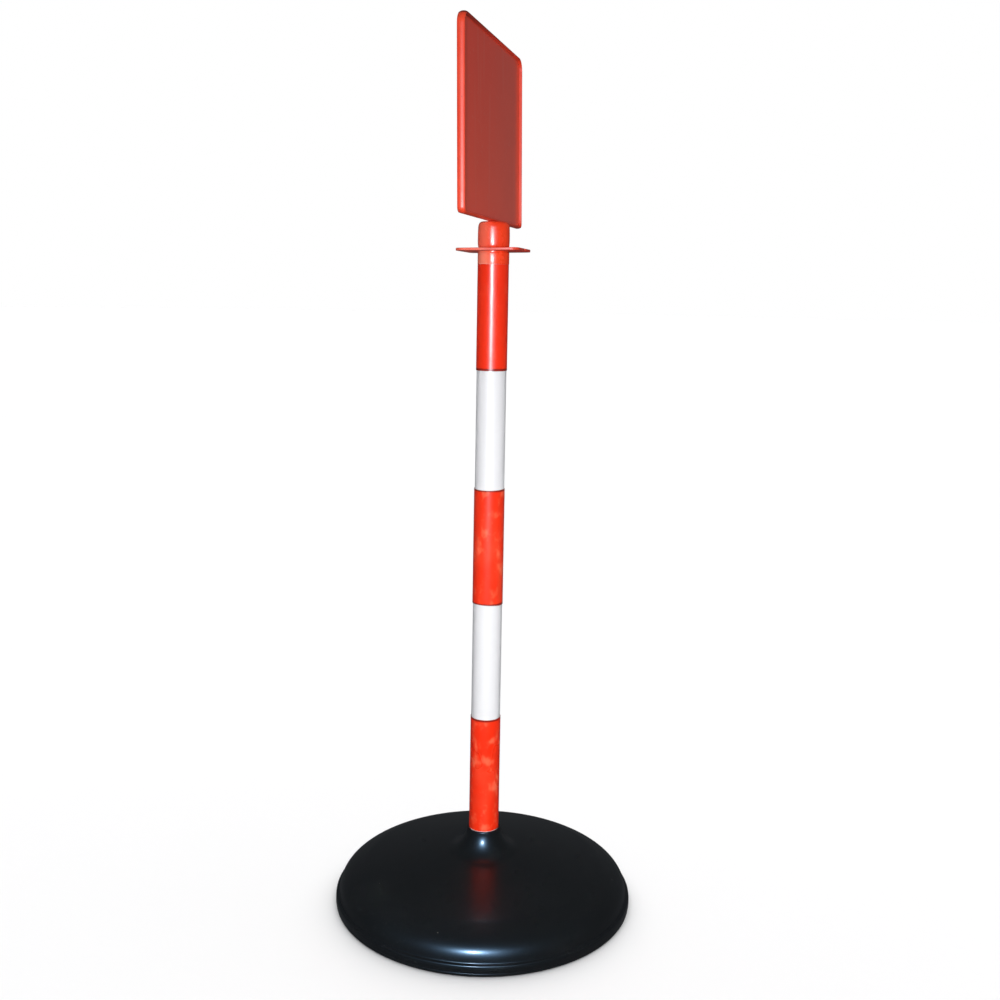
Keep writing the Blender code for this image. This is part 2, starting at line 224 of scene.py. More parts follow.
def rounded_rectangle(half_width, half_height, top_radius, bottom_radius, pieces=10, straight=12):
    """Points round a rectangle with arcs at its corners, always the same number of them."""
    corners = (
        (1, 1, top_radius),
        (-1, 1, top_radius),
        (-1, -1, bottom_radius),
        (1, -1, bottom_radius),
    )
    arcs = []
    for quarter, (side_x, side_z, radius) in enumerate(corners):
        centre_x = side_x * (half_width - radius)
        centre_z = side_z * (half_height - radius)
        arc = []
        for step in range(pieces + 1):
            angle = math.radians(90 * quarter + 90 * step / pieces)
            arc.append((centre_x + radius * math.cos(angle), centre_z + radius * math.sin(angle)))
        arcs.append(arc)
    points = []
    for quarter, arc in enumerate(arcs):
        points += arc
        start = Vector(arc[-1])
        end = Vector(arcs[(quarter + 1) % 4][0])
        points += [tuple(start.lerp(end, step / straight)) for step in range(1, straight)]
    return points


def lofted_board(name, sections, material):
    """The board's outline at (inset, y) sections, joined in turn and closed with flat ends."""
    centre = (SIGN_TOP + SIGN_BOTTOM) / 2
    half_height = (SIGN_TOP - SIGN_BOTTOM) / 2 + BOARD_SWELL
    shape = bmesh.new()
    rings = []
    for inset, depth in sections:
        top = SIGN_TOP_CORNER - inset
        bottom = SIGN_BOTTOM_CORNER - inset
        ring = rounded_rectangle(SIGN_HALF_WIDTH - inset, half_height - inset, top, bottom)
        rings.append([shape.verts.new((x, depth, centre + z)) for x, z in ring])
    for first, second in zip(rings, rings[1:]):
        for index in range(len(first)):
            following = (index + 1) % len(first)
            shape.faces.new((first[index], first[following], second[following], second[index]))
    shape.faces.new(rings[0])
    shape.faces.new(rings[-1][::-1])
    return add_object(name, finish_mesh(name, shape), material)


def lean(obj, height, shift=Vector()):
    """Turn a finished mesh by the head's lean about the point of the axis at this height."""
    pivot = Matrix.Translation((0.0, 0.0, height))
    obj.data.transform(Matrix.Translation(shift) @ pivot @ LEAN @ pivot.inverted())


def extruded(name, outline, bottom, top, edge, material, pieces=3):
    """Extrude an XY outline from bottom to top, its edges rounded by the given radius."""
    shape = bmesh.new()
    face = shape.faces.new([shape.verts.new((x, y, bottom)) for x, y in outline])
    swept = bmesh.ops.extrude_face_region(shape, geom=[face])
    lifted = [item for item in swept["geom"] if isinstance(item, bmesh.types.BMVert)]
    bmesh.ops.translate(shape, vec=(0, 0, top - bottom), verts=lifted)
    shape.normal_update()
    rims = []
    for side in shape.edges:
        if abs(side.verts[0].co.z - side.verts[1].co.z) < 1e-7:
            rims.append(side)
    bmesh.ops.bevel(
        shape,
        geom=rims,
        offset=edge,
        segments=pieces,
        profile=0.5,
        affect="EDGES",
        clamp_overlap=True,
    )
    return add_object(name, finish_mesh(name, shape), material)


# ---------------------------------------------------------------- material helpers


class Surface:
    """A Principled material whose detail comes from procedural nodes in object space."""

    def __init__(self, name, roughness, specular=0.5):
        self.material = bpy.data.materials.new(name)
        self.material.use_nodes = True
        self.tree = self.material.node_tree
        self.shader = self.tree.nodes["Principled BSDF"]
        self.shader.inputs["Roughness"].default_value = roughness
        self.shader.inputs["Specular IOR Level"].default_value = specular
        self.place = self.tree.nodes.new("ShaderNodeTexCoord").outputs["Object"]

    def link(self, source, target):
        self.tree.links.new(source, target)

    def stretched(self, stretch):
        node = self.tree.nodes.new("ShaderNodeMapping")
        node.inputs["Scale"].default_value = stretch
        self.link(self.place, node.inputs["Vector"])
        return node.outputs["Vector"]

    def noise(self, scale, detail=3.0, stretch=(1, 1, 1), roughness=0.5, distortion=0.0):
        node = self.tree.nodes.new("ShaderNodeTexNoise")
        node.inputs["Scale"].default_value = scale
        node.inputs["Detail"].default_value = detail
        node.inputs["Roughness"].default_value = roughness
        node.inputs["Distortion"].default_value = distortion
        self.link(self.stretched(stretch), node.inputs["Vector"])
        return node.outputs["Fac"]

    def cells(self, scale):
        node = self.tree.nodes.new("ShaderNodeTexVoronoi")
        node.inputs["Scale"].default_value = scale
        self.link(self.place, node.inputs["Vector"])
        return node.outputs["Distance"]

    def coordinate(self, axis):
        """The place along X, Y or Z, in metres."""
        node = self.tree.nodes.new("ShaderNodeSeparateXYZ")
        self.link(self.place, node.inputs["Vector"])
        return node.outputs[axis]

    def between(self, value, low, high, out_low=0.0, out_high=1.0):
        """Map value from low..high to out_low..out_high, smoothly and clamped."""
        node = self.tree.nodes.new("ShaderNodeMapRange")
        node.interpolation_type = "SMOOTHSTEP"
        node.inputs["From Min"].default_value = low
        node.inputs["From Max"].default_value = high
        node.inputs["To Min"].default_value = out_low
        node.inputs["To Max"].default_value = out_high
        self.link(value, node.inputs["Value"])
        return node.outputs["Result"]

    def maths(self, operation, first, second):
        """Two sockets or numbers, combined."""
        node = self.tree.nodes.new("ShaderNodeMath")
        node.operation = operation
        for socket, value in zip(node.inputs, (first, second)):
            if isinstance(value, (int, float)):
                socket.default_value = value
            else:
                self.link(value, socket)
        return node.outputs["Value"]

    def mix(self, factor, first, second):
        """Two colours or colour sockets, blended by the factor."""
        node = self.tree.nodes.new("ShaderNodeMix")
        node.data_type = "RGBA"
        self.link(factor, node.inputs["Factor"])
        for socket, value in ((node.inputs[6], first), (node.inputs[7], second)):
            if isinstance(value, tuple):
                socket.default_value = (*value, 1.0)
            else:
                self.link(value, socket)
        return node.outputs[2]

    def colour(self, value):
        self.link(value, self.shader.inputs["Base Color"])

    def rough(self, value):
        self.link(value, self.shader.inputs["Roughness"])

    def bump(self, *layers):
        """Stack (height, distance in metres) layers into the shader's normal."""
        normal = None
        for height, distance in layers:
            node = self.tree.nodes.new("ShaderNodeBump")
            node.inputs["Strength"].default_value = 1.0
            node.inputs["Distance"].default_value = distance
            self.link(height, node.inputs["Height"])
            if normal:
                self.link(normal, node.inputs["Normal"])
            normal = node.outputs["Normal"]
        self.link(normal, self.shader.inputs["Normal"])


# ---------------------------------------------------------------- materials


def black_plastic():
    """Smooth black polyethylene with handling scratches, scuffs and a few pale specks."""
    deep, pale = (0.0058, 0.0056, 0.0050), (0.0085, 0.0081, 0.0073)
    scratched, chalky = (0.060, 0.062, 0.066), (0.26, 0.26, 0.25)
    bluish_sheen = (0.40, 0.68, 1.0, 1.0)
    s = Surface("black_polyethylene", 0.33, 0.70)
    s.shader.inputs["Coat Weight"].default_value = 0.27
    s.shader.inputs["Coat Roughness"].default_value = 0.18
    s.shader.inputs["Specular Tint"].default_value = bluish_sheen
    cloud = s.noise(9.0, 4.0)
    scratch_a = s.between(s.noise(60.0, 2.0, (1.0, 14.0, 3.0), distortion=0.6), 0.66, 0.74)
    scratch_b = s.between(s.noise(52.0, 2.0, (12.0, 1.4, 3.0), distortion=0.8), 0.67, 0.74)
    worn = s.between(s.noise(4.5, 3.0), 0.48, 0.70)
    scratches = s.maths("MULTIPLY", s.maths("MAXIMUM", scratch_a, scratch_b), worn)
    specks = s.between(s.cells(55.0), 0.050, 0.020)
    sparse = s.between(s.noise(21.0, 1.0), 0.60, 0.66)
    specks = s.maths("MULTIPLY", specks, sparse)
    base = s.mix(cloud, deep, pale)
    base = s.mix(s.maths("MULTIPLY", scratches, 0.55), base, scratched)
    s.colour(s.mix(specks, base, chalky))
    rough = s.between(cloud, 0.3, 0.7, 0.31, 0.36)
    s.rough(s.maths("ADD", rough, s.maths("MULTIPLY", scratches, 0.14)))
    s.bump((s.noise(850.0, 2.0), 0.000010), (s.noise(70.0, 2.0), 0.00004), (scratches, 0.00003))
    return s.material


def red_film(node, patchy, foot_grime=0.85, top_grime=0.85):
    """Glossy adhesive film. Where air lies under it, it looks paler; patchy says how much.

    Dirt has gathered along its lower and upper ends, as far as the two grime values say.
    """
    deep, bright = (0.810, 0.020, 0.0015), (0.880, 0.032, 0.0040)
    lifted, dirt_and_shade = (0.98, 0.190, 0.090), (0.16, 0.008, 0.004)
    s = Surface(node + "_film", 0.30, 0.5)
    low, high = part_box(node)
    drift = s.noise(14.0, 3.0, (1.0, 1.0, 0.5))
    blisters = s.between(s.noise(72.0, 2.5, (1.0, 1.0, 0.8)), 0.50, 0.76)
    smears = s.between(s.noise(26.0, 3.0, (1.0, 1.0, 0.45)), 0.46, 0.78)
    pale = s.maths("ADD", s.maths("MULTIPLY", blisters, 0.75), s.maths("MULTIPLY", smears, 0.30))
    base = s.mix(drift, deep, bright)
    base = s.mix(s.maths("MULTIPLY", pale, patchy), base, lifted)
    ragged = s.maths("MULTIPLY", s.noise(220.0, 2.0), 0.0010)
    level = s.maths("ADD", s.coordinate("Z"), ragged)
    foot = s.between(level, low.z + 0.0030, low.z + 0.0042, foot_grime, 0.0)
    head = s.between(level, high.z - 0.0026, high.z - 0.0016, 0.0, top_grime)
    s.colour(s.mix(s.maths("MAXIMUM", foot, head), base, dirt_and_shade))
    s.rough(s.between(drift, 0.3, 0.7, 0.27, 0.33))
    grain = s.noise(420.0, 2.0, (1.0, 1.0, 0.2))
    s.bump((grain, 0.000010), (smears, 0.00003), (blisters, 0.00003))
    return s.material


def white_pvc():
    """Extruded white tube with faint lengthwise draw lines and a little grime."""
    clean, grimy = (0.738, 0.741, 0.766), (0.693, 0.695, 0.713)
    s = Surface("white_tube", 0.40, 0.32)
    lines = s.noise(300.0, 2.0, (1.0, 1.0, 0.01))
    grime = s.between(s.noise(16.0, 4.0, (1.0, 1.0, 0.4)), 0.60, 0.80)
    s.colour(s.mix(grime, clean, grimy))
    s.rough(s.between(lines, 0.3, 0.7, 0.38, 0.44))
    s.bump((lines, 0.00002))
    return s.material


def moulded_red(name, deep, light, roughness, painted_side_light=0.0, shaded_above=None, uneven=0.00005):
    """Glossy moulded plastic. Its +Y side, toward the flash, can be painted paler as light, and above a
    given height it can be painted darker as shade.
    """
    painted_light_tint, dirt_and_shade = (0.95, 0.235, 0.150), (0.20, 0.016, 0.008)
    s = Surface(name, roughness, 0.5)
    base = s.mix(s.between(s.noise(26.0, 3.0), 0.3, 0.7), deep, light)
    # Painted light: the +Y side, toward the flash, is mixed toward a pale tint as a lit side.
    if painted_side_light > 0.0:
        wavering = s.maths("ADD", s.coordinate("Y"), s.maths("MULTIPLY", s.noise(60.0, 2.0), 0.006))
        side = s.between(wavering, -0.0040, 0.0120)
        base = s.mix(s.maths("MULTIPLY", side, painted_side_light), base, painted_light_tint)
    # Painted shade: above the given height the colour is darkened, as the shade along the frame's top.
    if shaded_above is not None:
        top_shade = s.between(s.coordinate("Z"), shaded_above, shaded_above + 0.0018, 0.0, 0.75)
        base = s.mix(top_shade, base, dirt_and_shade)
    s.colour(base)
    s.rough(s.between(s.noise(45.0, 3.0), 0.3, 0.7, roughness - 0.03, roughness + 0.04))
    s.bump((s.noise(900.0, 2.0), 0.000003), (s.noise(38.0, 2.0), uneven))
    return s.material


def panel_sheet():
    """Plain glossy red sheet, a little wavy, with painted light: paler towards its foot, and greyer
    towards its +X end as a painted reflection.
    """
    deep, light = (0.86, 0.066, 0.036), (0.92, 0.080, 0.044)
    painted_foot_light, painted_sheen, marked = (0.95, 0.120, 0.070), (0.84, 0.155, 0.108), (0.80, 0.22, 0.16)
    s = Surface("panel_red", 0.16, 0.5)
    low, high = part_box("sign_panel_front")
    cloud = s.noise(7.0, 4.0, (1.0, 1.0, 1.4))
    wiping = s.noise(30.0, 3.0, (0.35, 1.0, 1.0), distortion=0.7)
    streaks = s.between(s.noise(70.0, 2.0, (1.0, 1.0, 0.06)), 0.52, 0.75)
    dust = s.between(s.noise(160.0, 2.0), 0.60, 0.78)
    # Painted light: the sheet is mixed toward a paler tint towards its foot, most strongly low down.
    lit_foot = s.between(s.coordinate("Z"), low.z - 0.05, high.z + 0.02, 0.70, 0.10)
    # Painted reflection: greyer towards the +X end, standing in for pale surroundings reflected at a
    # grazing angle.
    far_end_sheen = s.between(s.coordinate("X"), low.x, high.x, 0.0, 0.42)
    base = s.mix(cloud, deep, light)
    base = s.mix(lit_foot, base, painted_foot_light)
    base = s.mix(far_end_sheen, base, painted_sheen)
    marks = s.maths("MAXIMUM", s.maths("MULTIPLY", dust, 0.20), s.maths("MULTIPLY", streaks, 0.16))
    s.colour(s.mix(marks, base, marked))
    s.rough(s.between(wiping, 0.35, 0.70, 0.13, 0.21))
    s.bump((s.noise(9.0, 1.0), 0.0006), (s.noise(500.0, 1.0), 0.000006))
    return s.material


def cast_concrete():
    """Rough grey cast concrete with darker grains, hidden under the shell."""
    s = Surface("concrete", 0.9, 0.3)
    grains = s.cells(240.0)
    cloud = s.noise(20.0, 5.0)
    base = s.mix(cloud, (0.27, 0.26, 0.24), (0.40, 0.39, 0.36))
    s.colour(s.mix(s.between(grains, 0.0, 0.4), (0.22, 0.21, 0.20), base))
    s.rough(s.between(cloud, 0.3, 0.7, 0.82, 0.95))
    s.bump((s.noise(180.0, 5.0), 0.0008), (grains, 0.0004))
    return s.material


def grey_socket():
    """Dark grey drawn plastic of the cup in the ballast."""
    s = Surface("socket_plastic", 0.45, 0.5)
    cloud = s.noise(40.0, 3.0)
    s.colour(s.mix(cloud, (0.085, 0.085, 0.092), (0.120, 0.120, 0.128)))
    s.rough(s.between(cloud, 0.3, 0.7, 0.40, 0.52))
    s.bump((s.noise(260.0, 2.0, (1.0, 1.0, 0.1)), 0.00003))
    return s.material


def pale_floor():
    """Plain studio floor, only just uneven."""
    s = Surface("pale_floor", 0.7, 0.2)
    cloud = s.noise(1.3, 3.0)
    s.colour(s.mix(cloud, (0.88, 0.88, 0.88), (0.90, 0.90, 0.90)))
    s.bump((s.noise(60.0, 3.0), 0.0002))
    return s.material


# ---------------------------------------------------------------- the base


def base_outline():
    """Outer skin of the base from the hub's mouth down to the lip, then the inner skin back up."""
    flare_top = (HUB_RADIUS, HUB_TOP - 0.0015)
    flare_foot = (0.0500, 0.0700)
    crease_above = (0.1627, 0.04915)
    crease_below = (0.1645, 0.04855)
    shoulder_foot = (0.2003, 0.0190)
    mouth = filleted(
        [
            (HUB_BORE, 0.0900, 0.0),
            (HUB_BORE, HUB_TOP, 0.0006),
            (HUB_RADIUS, HUB_TOP, 0.0014),
            (HUB_RADIUS, HUB_TOP - 0.0040, 0.0),
        ],
        closed=False,
    )[:-1]
    flare = bezier(flare_top, (HUB_RADIUS, 0.0905), (0.0340, 0.0720), flare_foot, 22)
    dome = bezier(flare_foot, (0.0880, 0.0665), (0.1280, 0.0580), crease_above, 26)
    shoulder = bezier(crease_below, (0.1880, 0.0385), (0.1975, 0.0335), shoulder_foot, 24)
    lip = filleted(
        [
            (*shoulder_foot, 0.0),
            (0.2009, 0.0149, 0.0014),
            (0.2048, 0.0136, 0.0016),
            (BASE_RADIUS, 0.0100, 0.004),
            (BASE_RADIUS, BASE_LOW.z, 0.0006),
            (BASE_RADIUS - 0.0030, BASE_LOW.z, 0.0),
        ],
        closed=False,
        pieces=6,
    )[1:]
    inside = [(0.1985, 0.0130), (0.1965, 0.0215), (0.1880, 0.0345), (0.1630, 0.0460)]
    inside += [(0.0500, 0.0670), (0.0320, 0.0790), (0.0245, 0.0883), (HUB_BORE, 0.0885)]
    return mouth + flare + dome + shoulder + lip + inside


def make_base(black):
    shell = turned("base_shell_fine", base_outline(), black, BASE_STEPS)
    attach(shell, "base")
    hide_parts("base_shell")

    edge = UNDER_HIGH.x
    recess = 0.0012
    groove = 0.0018
    corners = [(0.0, UNDER_HIGH.z, 0.0), (edge, UNDER_HIGH.z, 0.0004), (edge, 0.0, 0.0012)]
    corners += [(0.168, 0.0, 0.0008), (0.167, recess, 0.0006)]
    for ring in range(5):
        outer = 0.150 - 0.026 * ring
        corners += [(outer, recess, 0.0006), (outer - 0.001, groove, 0.0004)]
        corners += [(outer - 0.004, groove, 0.0004), (outer - 0.005, recess, 0.0006)]
    corners.append((0.0, recess, 0.0))
    under = turned("base_underplate_fine", filleted(corners), black, BASE_STEPS, 30)
    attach(under, "base")
    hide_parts("base_underplate")
    return shell


# ---------------------------------------------------------------- the post


def film_skin(shape, low, high, radius, skew, phase, seam_angle, seed):
    """Rings of vertices up one side of the film; the outer side is wavy and laps at the seam."""
    outer = radius == FILM_RADIUS
    skin = []
    for row in range(FILM_ROWS + 1):
        share = row / FILM_ROWS
        ring = []
        for step in range(FILM_STEPS):
            angle = math.tau * step / FILM_STEPS
            reach = radius
            if outer:
                spot = Vector((3 * math.cos(angle), 3 * math.sin(angle), 7 * share + seed))
                raised = 0.00018 if math.cos(angle - seam_angle) > 0.975 else 0.0
                reach = radius + raised + 0.00005 * noise.noise(spot)
            cut = skew * math.cos(angle - phase) * (abs(share - 0.5) * 2) ** 6
            height = low.z + (high.z - low.z) * share
            if share < 0.5:
                height = max(height + cut, low.z)
            else:
                height -= abs(cut) * 0.5
            ring.append(shape.verts.new((reach * math.cos(angle), reach * math.sin(angle), height)))
        skin.append(ring)
    return skin


def film_sleeve(node, skew, seam_angle, material, seed):
    """Sleeve of film: its ends are cut a little askew and it laps over itself at the seam."""
    low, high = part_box(node)
    random.seed(seed)
    phase = random.uniform(0.0, math.tau)
    inner_radius = -(low.x + FILM_THICKNESS)
    shape = bmesh.new()
    outside = film_skin(shape, low, high, FILM_RADIUS, skew, phase, seam_angle, seed)
    inside = film_skin(shape, low, high, inner_radius, skew, phase, seam_angle, seed)

    def wall(first, second, here, there):
        shape.faces.new((first[here], first[there], second[there], second[here]))

    for step in range(FILM_STEPS):
        following = (step + 1) % FILM_STEPS
        for row in range(FILM_ROWS):
            wall(outside[row], outside[row + 1], step, following)
            wall(inside[row + 1], inside[row], step, following)
        wall(outside[-1], inside[-1], step, following)
        wall(inside[0], outside[0], step, following)
    sleeve = add_object(node + "_film", finish_mesh(node + "_film", shape), material, 50)
    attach(sleeve, "post")
    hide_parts(node)


def make_post(white, black):
    bore = TUBE_RADIUS - TUBE_WALL
    corners = [
        (bore, TUBE_LOW.z, 0.0003),
        (TUBE_RADIUS, TUBE_LOW.z, 0.0005),
        (TUBE_RADIUS, TUBE_HIGH.z, 0.0005),
        (bore, TUBE_HIGH.z, 0.0003),
    ]
    tube = turned("post_tube_fine", filleted(corners), white, FINE_STEPS)
    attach(tube, "post")
    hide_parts("post_tube")

    lower = red_film("band_red_lower", 0.80, foot_grime=0.0)
    film_sleeve("band_red_lower", 0.0, 0.9, lower, 3)
    middle = red_film("band_red_middle", 0.75)
    film_sleeve("band_red_middle", 0.0014, 1.7, middle, 11)
    upper = red_film("band_red_upper", 0.12, top_grime=0.0)
    film_sleeve("band_red_upper", 0.0004, 2.0, upper, 23)

    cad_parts["tube_foot_plug"].data.materials[0] = black


# ---------------------------------------------------------------- the head


def plate_outline():
    """Square plate with rounded corners and a keyhole chain slot in two opposite sides."""
    half = PLATE_HALF
    mouth = 0.0026
    pocket = 0.0045
    pocket_outer = half - 0.0060
    pocket_inner = half - 0.0140
    corner = (-half, half, PLATE_CORNER)
    slotted = [
        corner,
        (-mouth, half, 0.0012),
        (-mouth, pocket_outer, 0.0006),
        (-pocket, pocket_outer, 0.0020),
        (-pocket, pocket_inner, 0.0036),
        (pocket, pocket_inner, 0.0036),
        (pocket, pocket_outer, 0.0020),
        (mouth, pocket_outer, 0.0006),
        (mouth, half, 0.0012),
    ]
    corners = []
    for quarter, side in enumerate((slotted, [corner], slotted, [corner])):
        turn = Matrix.Rotation(math.radians(-90 * quarter), 2)
        for x, y, radius in side:
            point = turn @ Vector((x, y))
            corners.append((point.x, point.y, radius))
    return filleted(corners, pieces=6)


def make_head(red, plate_red):
    underside = PLATE_BOTTOM + PLATE_THINNED
    plate = extruded("chain_plate_fine", plate_outline(), underside, PLATE_TOP, PLATE_EDGE, plate_red)
    lean(plate, PLATE_BOTTOM + PLATE_THICKNESS / 2)

    spigot_bore = SPIGOT_RADIUS - HEAD_WALL
    plug_bore = PLUG_RADIUS - HEAD_WALL
    neck_ring = PLATE_TOP + 0.00025
    undercut = SKIRT_RADIUS - 0.0009
    undercut_top = PLATE_BOTTOM + 0.0010
    groove_top = TUBE_HIGH.z + FIT_GAP
    corners = [
        (0.0, PLATE_TOP - 0.0005, 0.0),
        (spigot_bore, PLATE_TOP - 0.0005, 0.0010),
        (spigot_bore, SPIGOT_TOP, 0.0004),
        (SPIGOT_RADIUS, SPIGOT_TOP, 0.0010),
        (SPIGOT_RADIUS, neck_ring, 0.0003),
        (COLLAR_RADIUS, neck_ring, 0.0003),
        (COLLAR_RADIUS, undercut_top, 0.0003),
        (undercut, undercut_top, 0.0002),
        (undercut, PLATE_BOTTOM - 0.0007, 0.0002),
        (SKIRT_RADIUS, PLATE_BOTTOM - 0.0010, 0.0004),
        (SKIRT_RADIUS, SKIRT_BOTTOM, 0.0001),
        (SKIRT_BORE, SKIRT_BOTTOM, 0.0001),
        (SKIRT_BORE, groove_top, 0.0002),
        (PLUG_RADIUS, groove_top, 0.0002),
        (PLUG_RADIUS, HEAD_LOW.z, 0.0012),
        (plug_bore, HEAD_LOW.z, 0.0004),
        (plug_bore, underside, 0.0010),
        (0.0, underside, 0.0),
    ]
    core = turned("chain_head_core", filleted(corners), red, FINE_STEPS)
    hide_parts("chain_head")
    for piece in (plate, core):
        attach(piece, "head")


# ---------------------------------------------------------------- the sign


def make_sign_socket(red):
    """Barrel-shaped neck with a flat top and soft shoulders, hollow from below."""
    widest = NECK_HIGH.x
    foot_z = NECK_LOW.z + 0.0002
    ceiling = SPIGOT_TOP + FIT_GAP
    crown = (0.0140, SIGN_BOTTOM)
    shoulder = (0.0209, NECK_SHOULDER_HEIGHT)
    bulge = (widest, NECK_BULGE_HEIGHT)
    foot = (0.0204, foot_z + 0.0018)
    outer = [(0.0, SIGN_BOTTOM), crown]
    outer += bezier(crown, (0.0186, SIGN_BOTTOM), (0.0206, 0.9366), shoulder, 20)
    outer += bezier(shoulder, (widest, 0.9250), (widest, 0.9210), bulge, 8)
    outer += bezier(bulge, (widest, 0.9110), (0.0210, 0.9065), foot, 14)
    outer += [(0.0199, foot_z + 0.0012), (0.0190, foot_z + 0.0011)]
    inner = [(0.0189, foot_z), (NECK_BORE + 0.0002, foot_z), (NECK_BORE, foot_z + 0.0004)]
    inner += [(NECK_BORE, ceiling), (0.0, ceiling)]
    neck = turned("sign_socket_fine", outer + inner, red, FINE_STEPS)
    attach(neck, "sign")
    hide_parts("sign_socket")


def board_sections():
    """The frame from its front web over the rim and the bellied edge to its rear web."""
    face = SIGN_HALF_DEPTH
    wall_foot = SIGN_RIM + 0.0004
    sections = [
        (wall_foot + 0.0002, -SIGN_HALF_WEB),
        (wall_foot, -SIGN_HALF_WEB - 0.0002),
        (SIGN_RIM, 0.0006 - face),
        (SIGN_RIM - 0.0002, 0.0002 - face),
        (SIGN_RIM - 0.0005, -face),
        (0.0021, -face),
        (0.0016, 0.0001 - face),
        (0.0012, 0.0004 - face),
    ]
    belly_steps = 7
    for step in range(belly_steps):
        depth = -SIGN_BELLY_END * (1 - step / belly_steps)
        sections.append((SIGN_BELLY * (depth / SIGN_BELLY_END) ** 2, depth))
    return sections + [(inset, -depth) for inset, depth in reversed(sections)]


def make_board(red, sheet):
    board = lofted_board("sign_frame_fine", board_sections(), red)
    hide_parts("sign_frame")
    outline = rounded_rectangle(TONGUE_HALF_WIDTH, TONGUE_HALF_THICKNESS, 0.0008, 0.0008, 4, 2)
    tongue = extruded("board_tongue", outline, BOARD_LOW.z, SIGN_BOTTOM + 0.002, 0.0004, red)
    for piece in (board, tongue):
        lean(piece, SIGN_BOTTOM, BOARD_SHIFT)
        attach(piece, "sign")

    inset = SIGN_HALF_WIDTH - PANEL_HIGH.x
    for node, side in (("sign_panel_front", -1), ("sign_panel_rear", 1)):
        sections = [
            (inset, side * PANEL_NEAR),
            (inset, side * (PANEL_FAR - 0.0001)),
            (inset + 0.0001, side * PANEL_FAR),
        ]
        panel = lofted_board(node + "_sheet", sections, sheet)
        lean(panel, SIGN_BOTTOM, BOARD_SHIFT)
        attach(panel, "sign")
        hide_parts(node)


# ---------------------------------------------------------------- stage, light, camera


def view_frame():
    """The camera's level forward and right directions."""
    forward = Vector((math.cos(CAMERA_BEARING), math.sin(CAMERA_BEARING), 0.0))
    right = Vector((forward.y, -forward.x, 0.0))
    return forward, right


def make_camera():
    forward, right = view_frame()
    data = bpy.data.cameras.new("camera")
    data.sensor_width = 36.0
    data.lens = CAMERA_LENS_MM
    data.shift_y = CAMERA_SHIFT_Y
    data.clip_end = 100.0
    camera = bpy.data.objects.new("camera", data)
    bpy.context.scene.collection.objects.link(camera)
    look = forward * math.cos(CAMERA_PITCH) - Vector((0, 0, math.sin(CAMERA_PITCH)))
    up = right.cross(look)
    right_rolled = right * math.cos(CAMERA_ROLL) + up * math.sin(CAMERA_ROLL)
    up_rolled = up * math.cos(CAMERA_ROLL) - right * math.sin(CAMERA_ROLL)
    axes = Matrix((right_rolled, up_rolled, -look)).transposed().to_4x4()
    spot = right * CAMERA_SIDESTEP - forward * CAMERA_DISTANCE
    spot.z = CAMERA_HEIGHT
    camera.matrix_world = Matrix.Translation(spot) @ axes
    bpy.context.scene.camera = camera
    return camera


def area_light(name, spot, target, size, power, colour=(1, 1, 1), seen="both", slant=0.0):
    """A soft lamp that shows in the diffuse light, in the gloss ("glossy", "diffuse") or in both."""
    data = bpy.data.lights.new(name, "AREA")
    data.shape = "RECTANGLE"
    data.size, data.size_y = size
    data.energy = power
    data.color = colour
    lamp = bpy.data.objects.new(name, data)
    bpy.context.scene.collection.objects.link(lamp)
    lamp.location = spot
    lamp.rotation_mode = "QUATERNION"
    aim = (Vector(target) - Vector(spot)).to_track_quat("-Z", "Y")
    lamp.rotation_quaternion = aim @ Quaternion((0.0, 0.0, 1.0), slant)
    lamp.visible_camera = False
    lamp.visible_glossy = seen != "diffuse"
    lamp.visible_diffuse = seen != "glossy"
    return lamp


def link_receivers(lamp, state, *receivers):
    """INCLUDE: the lamp lights these objects alone. EXCLUDE: it lights all but these."""
    chosen = bpy.data.collections.new(lamp.name + "_receivers")
    for place, receiver in enumerate(receivers):
        chosen.objects.link(receiver)
        chosen.collection_objects[place].light_linking.link_state = state
    lamp.light_linking.receiver_collection = chosen


def make_front_lamps(camera):
    """A flash and a slanting strip beside the camera for the glints, and broad soft light."""
    forward, right = view_frame()
    eye = camera.matrix_world.translation
    middle = Vector((0, 0, 0.62))
    flash = eye - right * 0.17
    strip = eye - right * 0.35 + Vector((0, 0, 0.03))
    glow = eye - forward * 0.1 - Vector((0, 0, 0.10))
    wash = eye + right * 0.25 - forward * 0.1
    bluish = (0.84, 0.92, 1.0)
    small, narrow, broad = (0.07, 0.12), (0.04, 0.44), (0.9, 1.0)
    lamps = {
        "flash": area_light("flash", flash, middle, small, 12.2, seen="diffuse"),
        "flash_glint": area_light("flash_glint", flash, middle, small, 20.0, bluish, "glossy"),
        "strip_glint": area_light(
            "strip_glint", strip, middle, narrow, 16.0, bluish, "glossy", STRIP_SLANT
        ),
        "front_glow": area_light("front_glow", glow, middle, broad, 3.6, (0.56, 0.74, 1.0), "glossy"),
        "front_wash": area_light("front_wash", wash, middle, (0.8, 0.8), 9.0, seen="diffuse"),
    }
    low_target = (0, 0, 0.15)
    low_fill = area_light("low_fill", wash, low_target, (0.6, 0.4), 2.2, (1.0, 0.99, 0.97), "diffuse")
    low_fill.data.spread = math.radians(60)
    lamps["low_fill"] = low_fill
    for name, bearing, power in FILLS:
        turn = Matrix.Rotation(math.radians(bearing), 3, "Z")
        spot = turn @ (forward * -2.0) + Vector((0, 0, 1.7))
        lamps[name] = area_light(name, spot, middle, (1.2, 1.2), power, seen="diffuse")
    lamps["base_glint"] = area_light("base_glint", flash, middle, small, 44.0, bluish, "glossy")
    return lamps


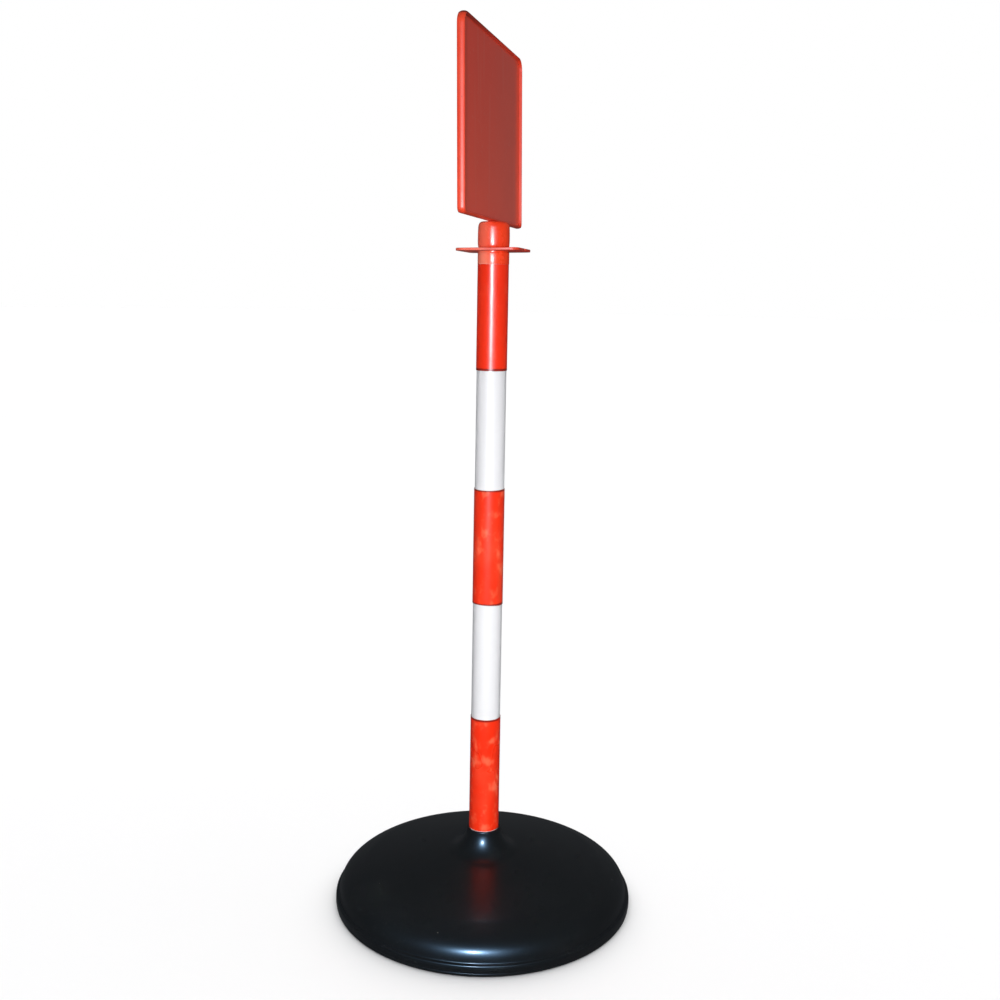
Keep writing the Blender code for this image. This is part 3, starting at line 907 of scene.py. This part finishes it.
def make_floor_light(floor):
    """A wide sun for the floor alone, from above and behind, which draws the soft shadow."""
    forward, right = view_frame()
    sun = bpy.data.lights.new("floor_light", "SUN")
    sun.energy = FLOOR_LIGHT
    sun.angle = math.radians(105)
    overhead = bpy.data.objects.new("floor_light", sun)
    bpy.context.scene.collection.objects.link(overhead)
    from_back_right = right * 0.08 + forward * 0.50 + Vector((0, 0, 1))
    overhead.rotation_mode = "QUATERNION"
    overhead.rotation_quaternion = (-from_back_right).to_track_quat("-Z", "Y")
    link_receivers(overhead, "INCLUDE", floor)


def make_lights(camera, floor, shell):
    """The base has a glint of its own, and the two other glints leave it out."""
    for name, lamp in make_front_lamps(camera).items():
        if name == "base_glint":
            link_receivers(lamp, "INCLUDE", shell)
        elif name in ("flash_glint", "strip_glint"):
            link_receivers(lamp, "EXCLUDE", floor, shell)
        else:
            link_receivers(lamp, "EXCLUDE", floor)
    make_floor_light(floor)


def make_world():
    """White backdrop for the camera; a dim room for reflections and soft ambient light."""
    world = bpy.data.worlds.new("studio")
    bpy.context.scene.world = world
    world.use_nodes = True
    tree = world.node_tree
    background = tree.nodes["Background"]
    background.inputs["Strength"].default_value = 1.0
    path = tree.nodes.new("ShaderNodeLightPath")
    seen = tree.nodes.new("ShaderNodeMix")
    seen.data_type = "RGBA"
    seen.inputs[6].default_value = AMBIENT
    seen.inputs[7].default_value = BACKDROP
    tree.links.new(path.outputs["Is Camera Ray"], seen.inputs["Factor"])
    shiny = tree.nodes.new("ShaderNodeMix")
    shiny.data_type = "RGBA"
    shiny.inputs[7].default_value = REFLECTED_ROOM
    tree.links.new(path.outputs["Is Glossy Ray"], shiny.inputs["Factor"])
    tree.links.new(seen.outputs[2], shiny.inputs[6])
    tree.links.new(shiny.outputs[2], background.inputs["Color"])


def make_floor():
    """A wide pale disc just under the base, left out of reflections and bounced light."""
    shape = bmesh.new()
    bmesh.ops.create_circle(shape, cap_ends=True, segments=96, radius=40.0)
    bmesh.ops.translate(shape, vec=(0, 0, -0.0004), verts=shape.verts)
    floor = add_object("floor", finish_mesh("floor", shape), pale_floor())
    floor.visible_glossy = False
    floor.visible_diffuse = False
    return floor


# ---------------------------------------------------------------- build


def main():
    scene = bpy.context.scene
    scene.view_settings.view_transform = "Standard"
    black = black_plastic()
    # Painted light: the head, neck and plate are painted paler on their +Y side, each by its own
    # amount.
    head_red = moulded_red("head_red", (0.86, 0.044, 0.0090), (0.91, 0.062, 0.0150), 0.25, painted_side_light=0.95)
    neck_red = moulded_red("neck_red", (0.84, 0.040, 0.0080), (0.90, 0.058, 0.0140), 0.25, painted_side_light=0.45)
    plate_red = moulded_red(
        "plate_red",
        (0.74, 0.052, 0.0220),
        (0.80, 0.066, 0.0300),
        0.42,
        painted_side_light=0.40,
        uneven=0.00002,
    )
    # Painted shade: the frame's top rim is painted darker.
    frame_red = moulded_red(
        "frame_red",
        (0.82, 0.050, 0.0150),
        (0.88, 0.066, 0.0220),
        0.40,
        shaded_above=SIGN_TOP - SIGN_RIM,
        uneven=0.00002,
    )
    shell = make_base(black)
    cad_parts["base_ballast"].data.materials[0] = cast_concrete()
    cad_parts["post_socket"].data.materials[0] = grey_socket()
    make_post(white_pvc(), black)
    make_head(head_red, plate_red)
    make_sign_socket(neck_red)
    make_board(frame_red, panel_sheet())
    camera = make_camera()
    floor = make_floor()
    make_lights(camera, floor, shell)
    make_world()


main()
